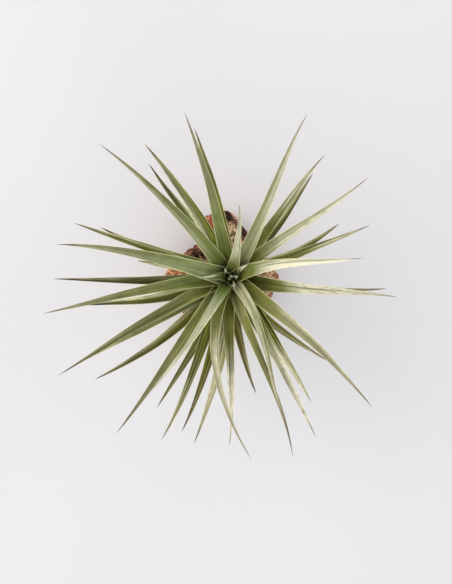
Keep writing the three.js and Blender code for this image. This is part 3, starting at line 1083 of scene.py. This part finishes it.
@dataclass(frozen=True)
class GasPits:
    """Round pits that gas bubbles left in the rock.

    They are spread by a turning angle from the top down, until the sine of the slope has fallen by `fall`.
    At a distance of p radii from its middle, a pit is as deep as a share of its radius times
    (1 - p^2)^steepness.
    """

    count: int
    sizes: Pair
    seed: int
    size_power: float = 2.0
    fall: float = 1.55
    scatter: float = 14.0
    slope_scatter: float = 0.0
    steepness: float = 1.0
    depth_share: float = 0.62
    pit_shade_share: float = 0.5

    def carve(self, direction: np.ndarray, skin: np.ndarray) -> tuple[np.ndarray, np.ndarray]:
        """Works out what the pits do to the rock's skin.

        Args:
            direction: unit directions from the rock's middle.
            skin: the skin's distance along each.

        Returns:
            How deep the pits are, in millimetres, and how much painted shade darkens them, from 0 to 1.
        """
        random = Seeded(self.seed)
        depth, pit_shade = np.zeros(skin.shape), np.zeros(skin.shape)
        for index in range(self.count):
            slope = np.degrees(np.arcsin(1 - self.fall * (index + 0.5) / self.count))
            turn = index * GOLDEN_TURN + self.scatter * random.next()
            if self.slope_scatter:
                slope += random.between(-self.slope_scatter, self.slope_scatter)
            radius = mix(*self.sizes, random.next() ** self.size_power)
            away = skin * np.sqrt(np.maximum(0, 2 - 2 * direction @ compass(turn, slope))) / radius
            bowl = np.maximum(0, 1 - away**2) ** self.steepness
            depth = np.maximum(depth, self.depth_share * radius * bowl)
            pit_shade = np.maximum(pit_shade, self.pit_shade_share * bowl)
        return depth, pit_shade


@dataclass
class LavaRock:
    """The rock: a broken lump given by the flat faces that it broke along, eaten by gas pits.

    Its skin lies, along a direction d, at the power mean (sum of (d.n / h)^p)^(-1/p) over faces with normal
    n at distance h from the rock's middle, where p is its sharpness. A face is given by its bearing, slope
    and distance. Slow waves roughen the skin, a shallow upright scoop hollows one side, large and small pits
    sink into it, and noise of three sizes makes it gritty. What would be under the table is cut flat, and
    so is the seat of the root crown.
    """

    middle: float = 15.5
    sharpness: int = 14
    faces: tuple[Triple, ...] = (
        (0, 90, 18),
        (40, 52, 23),
        (190, 46, 24.5),
        (290, 50, 24.5),
        (-14, 4, 35),
        (36.5, 8, 19.5),
        (97, 4, 28),
        (146, 6, 22.5),
        (186, -4, 34.3),
        (232, 8, 31),
        (272, 0, 28),
        (318, 10, 28),
        (30, -40, 24),
        (150, -42, 24.5),
        (270, -42, 26),
    )
    scoop_bearing: float = 146.0
    scoop_half_width: float = 12.0
    scoop_depth: float = 5.0
    wave_height: float = 0.55
    pits: GasPits = GasPits(count=46, sizes=(2.6, 5.2), seed=11)
    vesicles: GasPits = GasPits(
        count=1300,
        sizes=(0.6, 2.1),
        size_power=2.2,
        fall=2,
        scatter=40,
        slope_scatter=3,
        steepness=0.5,
        depth_share=0.85,
        pit_shade_share=1,
        seed=5,
    )
    # Noise: height and size of its bumps in millimetres, and its seed
    grit: tuple[tuple[float, float, int], ...] = ((0.8, 3.1, 3), (0.7, 1.5, 4), (0.25, 0.8, 5))
    plumpness: float = 0.35
    seat_radius: float = 7.2
    seat_floor: float = 31.2
    # Patches seen from above: middle from the rock's middle, radius, rust with painted light, and share of
    # tan.
    # The orange patches on the left are partly painted light; the two without rust at the top right are near
    # black
    patches: tuple[tuple[float, float, float, float, float], ...] = (
        (-8, 21, 8, 0.82, 0),
        (-29, -5, 10, 0.8, 0.05),
        (-15, 6, 9, 0.22, 0),
        (3.5, 18, 4.6, 0.7, 1),
        (6, 11, 5, 0.6, 1),
        (4, 26, 4, 0, -0.15),
        (8.5, 22, 3, 0.4, 0),
        (12, 16, 5, 0, -0.3),
        (28, -6, 9, 0.5, 0.6),
        (26, -16, 6, 0.3, 0.3),
    )
    patch_fade: Pair = (-5, 4)
    patch_raggedness: float = 1.3
    ground_weight: float = 0.12
    ground_rust: float = 0.55
    rows: int = 240
    columns: int = 390

    def skin_radius(self, direction: np.ndarray) -> np.ndarray:
        """Works out the skin without its pits, by the formula of the class.

        Args:
            direction: unit directions from the rock's middle.

        Returns:
            The skin's distance from the rock's middle along each.
        """
        angles = np.array(self.faces, float)
        normals = compass(angles[:, 0], angles[:, 1]) / angles[:, 2:]
        near = np.maximum(0, direction @ normals.T)
        radius = (near**self.sharpness).sum(-1) ** (-1 / self.sharpness)
        x, y, z = np.moveaxis(direction * radius[..., None], -1, 0)
        waves = np.sin(x / 3.9 + 1.1) * np.sin(y / 4.3 + 0.6) + np.sin(z / 3.1 + x / 7.3)
        along, aside = direction @ compass(self.scoop_bearing), direction @ compass(self.scoop_bearing + 90)
        hollow = 1 - (radius * aside / self.scoop_half_width) ** 2
        scoop = self.scoop_depth * np.maximum(0, hollow) * np.maximum(0, along)
        return radius + self.wave_height * waves - scoop

    def tint(self, place: np.ndarray) -> tuple[np.ndarray, np.ndarray]:
        """How rusty and how tan the rock is.

        Each patch weighs exp(-(d / r)^4) at a ragged distance d from its middle in plan, times a share that
        falls from 1 to 0 down the rock's sides. The rest of the rock, whose rust drifts slowly, has a small
        weight everywhere. The rust of the orange patches on the left is partly painted light.

        Args:
            place: points from the rock's middle.

        Returns:
            Rust and painted light from 0 for purple-black to 1 for orange, and the share of tan.
        """
        weight = self.ground_weight
        rust_and_light = weight * (self.ground_rust + 0.3 * value_noise(place / 9, 8))
        tan = weight * np.maximum(0, value_noise(place / 7, 9))
        ragged = self.patch_raggedness * value_noise(place / 2.2, 10)
        low, high = self.patch_fade
        upper = np.clip((place[..., 2] - low + 5 * value_noise(place / 5, 12)) / (high - low), 0, 1)
        for x, y, radius, patch_rust_and_light, patch_tan in self.patches:
            away = np.hypot(place[..., 0] - x, place[..., 1] - y) + ragged
            share = upper * np.exp(-((away / radius) ** 4))
            rust_and_light = rust_and_light + share * patch_rust_and_light
            tan = tan + share * patch_tan
            weight = weight + share
        return rust_and_light / weight, tan / weight

    def build(self, material: bpy.types.Material) -> None:
        """Makes the rock.

        Args:
            material: the scoria.
        """
        slope = 90 - 180 * (np.arange(self.rows) + 0.5) / self.rows
        direction = compass(around(self.columns)[None, :], slope[:, None])
        skin = self.skin_radius(direction)
        deep, hollow = self.pits.carve(direction, skin)
        small, vesicle = self.vesicles.carve(direction, skin)
        place = direction * skin[..., None]
        grit = sum(height * value_noise(place / size, seed) for height, size, seed in self.grit)
        rings = direction * (skin - deep - small + grit + self.plumpness)[..., None]
        rings[..., 2] = np.maximum(0, rings[..., 2] + self.middle)
        seat = np.linalg.norm(rings[..., :2] - STEM_FOOT, axis=-1) < self.seat_radius
        rings[..., 2] = np.where(seat, np.minimum(rings[..., 2], self.seat_floor), rings[..., 2])
        whole = Skin()
        # The pits' painted shade goes into the first of the looks
        looks = np.stack([np.maximum(hollow, vesicle), *self.tint(place)], -1)
        whole.add(rings[::-1], {Attribute.PLACE: looks[::-1]})
        settle(whole.make("lava_rock_scoria", material), "lava_rock")


@dataclass
class RootCrown:
    """The root crown in the rock's seat, and the wiry roots that creep over the rock."""

    rock: LavaRock
    bottom: float = 31.5
    top: float = 36.3
    radius: float = 6.4
    profile: Profile = ((0, 0.86), (0.05, 0.92), (0.3, 1), (0.88, 0.84), (1, 0.6))
    ribs: int = 7
    root_radius: float = 0.55
    root_profile: Profile = ((0, 1), (0.6, 0.85), (0.97, 0.5), (1, 0.2))
    clear: float = 1.2
    # Roots: bearing at the crown, turn on the way, and reach from the crown's middle
    roots: tuple[Triple, ...] = (
        (28, -10, 15),
        (60, -12, 15.5),
        (108, 12, 17),
        (172, 34, 23),
        (218, -28, 20),
        (262, 30, 17),
        (318, -32, 19),
    )

    def over_rock(self, level: np.ndarray) -> np.ndarray:
        """The directions from the rock's middle in which its skin lies over points of the table.

        Args:
            level: points as x and y.

        Returns:
            Unit directions, found by halving the range of slopes thirty times.
        """
        away = np.linalg.norm(level, axis=-1)
        bearing = np.degrees(np.arctan2(level[:, 1], level[:, 0]))
        low, high = np.zeros(len(level)), np.full(len(level), 90.0)
        for _ in range(30):
            slope = (low + high) / 2
            outside = self.rock.skin_radius(compass(bearing, slope)) * np.cos(np.radians(slope)) > away
            low, high = np.where(outside, slope, low), np.where(outside, high, slope)
        return compass(bearing, (low + high) / 2)

    def root_rings(self, root: Triple, seed: int) -> np.ndarray:
        """A root's skin: circles along a line that lies just clear of the rock and wanders a little.

        Args:
            root: bearing at the crown, turn on the way, and reach from the crown's middle.
            seed: seeds its wandering.

        Returns:
            The rings, from the crown to the end.
        """
        bearing, turn, reach = root
        part = np.linspace(0, 1, 60)
        course = bearing + turn * part**2 + 5 * part * wander(part * 5, seed)
        spread = compass(course) * mix(3, reach, part)[:, None]
        direction = self.over_rock(spread[:, :2] + STEM_FOOT)
        line = direction * (self.rock.skin_radius(direction) + self.clear)[:, None]
        line[:, 2] += self.rock.middle
        forward = unit(np.gradient(line, axis=0))
        side = unit(np.cross(direction, forward))
        above = np.cross(forward, side)
        radius = self.root_radius * follow(self.root_profile, part)
        bark = 1 + 0.12 * wander(part * 40, seed)
        ring = compass(around(12))
        spokes = side[:, None] * ring[None, :, :1] + above[:, None] * ring[None, :, 1:2]
        return line[:, None] + spokes * (radius * bark)[:, None, None]

    def build(self, material: bpy.types.Material) -> None:
        """Makes the crown and the roots in one piece.

        Args:
            material: the root's bark.
        """
        skin = Skin()
        part = np.linspace(0, 1, 16)[:, None]
        ripple = 1 - 0.04 * np.abs(np.sin(np.radians(around(64)) * self.ribs))
        middle = np.concatenate([0 * part + STEM_FOOT, mix(self.bottom, self.top, part)], -1)
        skin.add(circles(middle, follow(self.profile, part) * self.radius * ripple), {})
        for number, root in enumerate(self.roots):
            skin.add(self.root_rings(root, number + ROOT_SEED), {})
        settle(skin.make("root_crown_and_roots", material), "root_crown")


@dataclass
class Studio:
    """The camera straight above, a pale floor and soft light from the left."""

    camera_height: float = 1.075
    camera_at: Pair = (0.00151, -0.01448)
    lens: float = 120.9
    floor_half: float = 3.0
    corners: tuple[tuple[int, int], ...] = ((-1, -1), (1, -1), (1, 1), (-1, 1))
    key_power: float = 5.2
    key_size: float = 1.1
    key_at: Triple = (-0.85, 0.4, 1.0)
    key_aim: Triple = (0, 0, 0.06)
    key_colour: str = "#fff2e4"
    world_colour: str = "#f0f3fa"
    world_strength: Pair = (2.95, 0.08)

    def build(self) -> None:
        """Makes the floor, the lights and the camera."""
        scene = bpy.context.scene
        mesh = bpy.data.meshes.new("floor")
        corners = [(x * self.floor_half, y * self.floor_half, 0) for x, y in self.corners]
        mesh.from_pydata(corners, [], [(0, 1, 2, 3)])
        mesh.materials.append(SweepPaper().make())
        floor = bpy.data.objects.new("floor", mesh)
        scene.collection.objects.link(floor)

        world = bpy.data.worlds.new("soft_room")
        world.use_nodes = True
        tree = world.node_tree
        background = tree.nodes["Background"]
        background.inputs["Color"].default_value = linear(self.world_colour)
        height = add(tree, "SeparateXYZ", (add(tree, "TexCoord", out="Generated"),), out="Z")
        low, high = self.world_strength
        strength = add(tree, "MapRange", (height, 0.0, 1.0, low, high))
        tree.links.new(strength, background.inputs["Strength"])
        scene.world = world

        light = bpy.data.lights.new("window", "AREA")
        light.shape = "RECTANGLE"
        light.size, light.size_y = self.key_size, self.key_size
        light.energy = self.key_power
        light.color = linear(self.key_colour)[:3]
        key = bpy.data.objects.new("window", light)
        key.location = self.key_at
        aim = Vector(self.key_aim) - key.location
        key.rotation_euler = aim.to_track_quat("-Z", "Y").to_euler()
        scene.collection.objects.link(key)

        camera = bpy.data.cameras.new("above")
        camera.lens = self.lens
        camera.clip_start = 0.01
        above = bpy.data.objects.new("above", camera)
        above.location = (*self.camera_at, self.camera_height)
        scene.collection.objects.link(above)
        scene.camera = above
        scene.view_settings.view_transform = "Standard"


def main() -> None:
    """Builds the plant from the heart down to the rock, then the studio."""
    logging.basicConfig(level=logging.INFO, format="%(name)s %(message)s")
    Rosette().build(LivingLeaf().make())
    DryFoot().build(DryLeaf().make())
    rock = LavaRock()
    RootCrown(rock).build(WiryRoot().make())
    rock.build(RedScoria().make())
    Studio().build()


if __name__ == "__main__":
    main()
